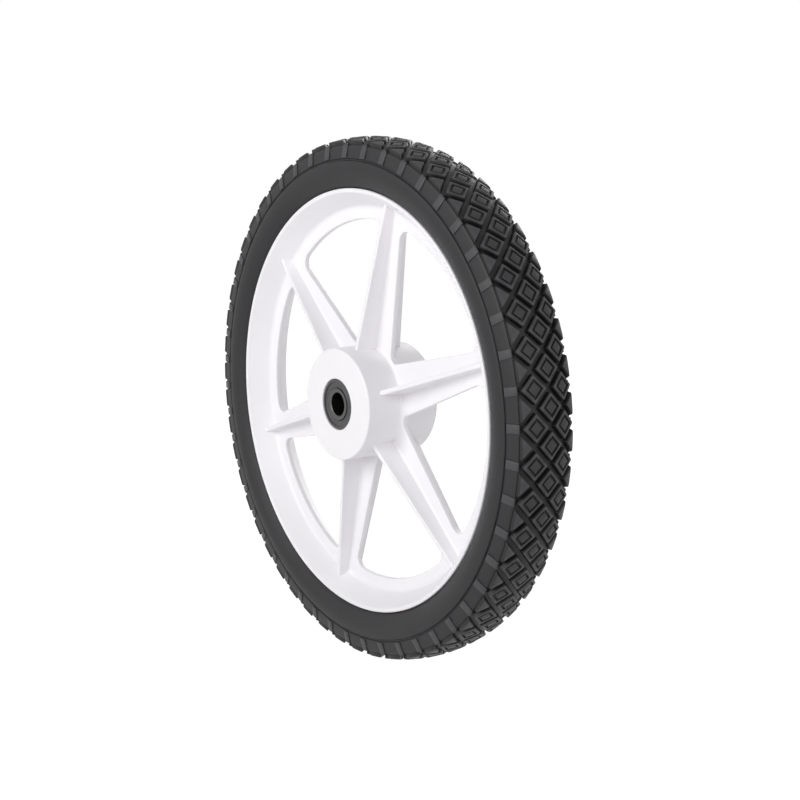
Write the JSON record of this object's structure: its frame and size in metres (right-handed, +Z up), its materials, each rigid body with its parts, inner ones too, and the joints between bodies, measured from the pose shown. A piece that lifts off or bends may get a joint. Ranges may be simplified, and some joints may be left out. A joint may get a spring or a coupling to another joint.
{
  "type": "plastic wheel",
  "caption": "White moulded spoked wheel with a black diamond-tread rubber tyre and sealed ball bearings in a long hub, for a walk-behind garden machine.",
  "frame": {"origin": "centre of the wheel, on the axle line, midway between the hub's faces", "axes": "+Y along the axle away from the shown face, +Z up, +X to the right seen from the shown face"},
  "size_m": [0.3558, 0.0572, 0.3564],
  "materials": {
    "rim_plastic": "moulded, satin gloss",
    "tyre_rubber": "moulded, matt",
    "bearing_steel": "ground",
    "cage_steel": "pressed",
    "ball_steel": "polished",
    "seal_rubber": "moulded, satin"
  },
  "bodies": {
    "axle_set": {"front_inner_race": "bearing_steel", "rear_inner_race": "bearing_steel", "spacer_sleeve": "bearing_steel"},
    "wheel": {"tyre": "tyre_rubber", "rim": "rim_plastic", "front_outer_race": "bearing_steel", "front_outer_seal": "seal_rubber", "front_inner_seal": "seal_rubber", "rear_outer_race": "bearing_steel", "rear_outer_seal": "seal_rubber", "rear_inner_seal": "seal_rubber"},
    "front_ball_set": {"front_cage": "cage_steel", "front_ball_1": "ball_steel", "front_ball_2": "ball_steel", "front_ball_3": "ball_steel", "front_ball_4": "ball_steel", "front_ball_5": "ball_steel", "front_ball_6": "ball_steel", "front_ball_7": "ball_steel", "front_ball_8": "ball_steel"},
    "rear_ball_set": {"rear_cage": "cage_steel", "rear_ball_1": "ball_steel", "rear_ball_2": "ball_steel", "rear_ball_3": "ball_steel", "rear_ball_4": "ball_steel", "rear_ball_5": "ball_steel", "rear_ball_6": "ball_steel", "rear_ball_7": "ball_steel", "rear_ball_8": "ball_steel"}
  },
  "joints": [
    {"name": "wheel_spin", "type": "hinge", "parent": "axle_set", "child": "wheel", "pos_m": [0, 0, 0], "axis": [0, 1, 0], "continuous": true},
    {"name": "front_ball_orbit", "type": "hinge", "parent": "axle_set", "child": "front_ball_set", "pos_m": [0, -0.02222, 0], "axis": [0, 1, 0], "continuous": true},
    {"name": "rear_ball_orbit", "type": "hinge", "parent": "axle_set", "child": "rear_ball_set", "pos_m": [0, 0.02222, 0], "axis": [0, 1, 0], "continuous": true}
  ],
  "couplings": [
    {"joint": "front_ball_orbit", "follows": "wheel_spin", "ratio": 0.60937},
    {"joint": "rear_ball_orbit", "follows": "wheel_spin", "ratio": 0.60937}
  ]
}
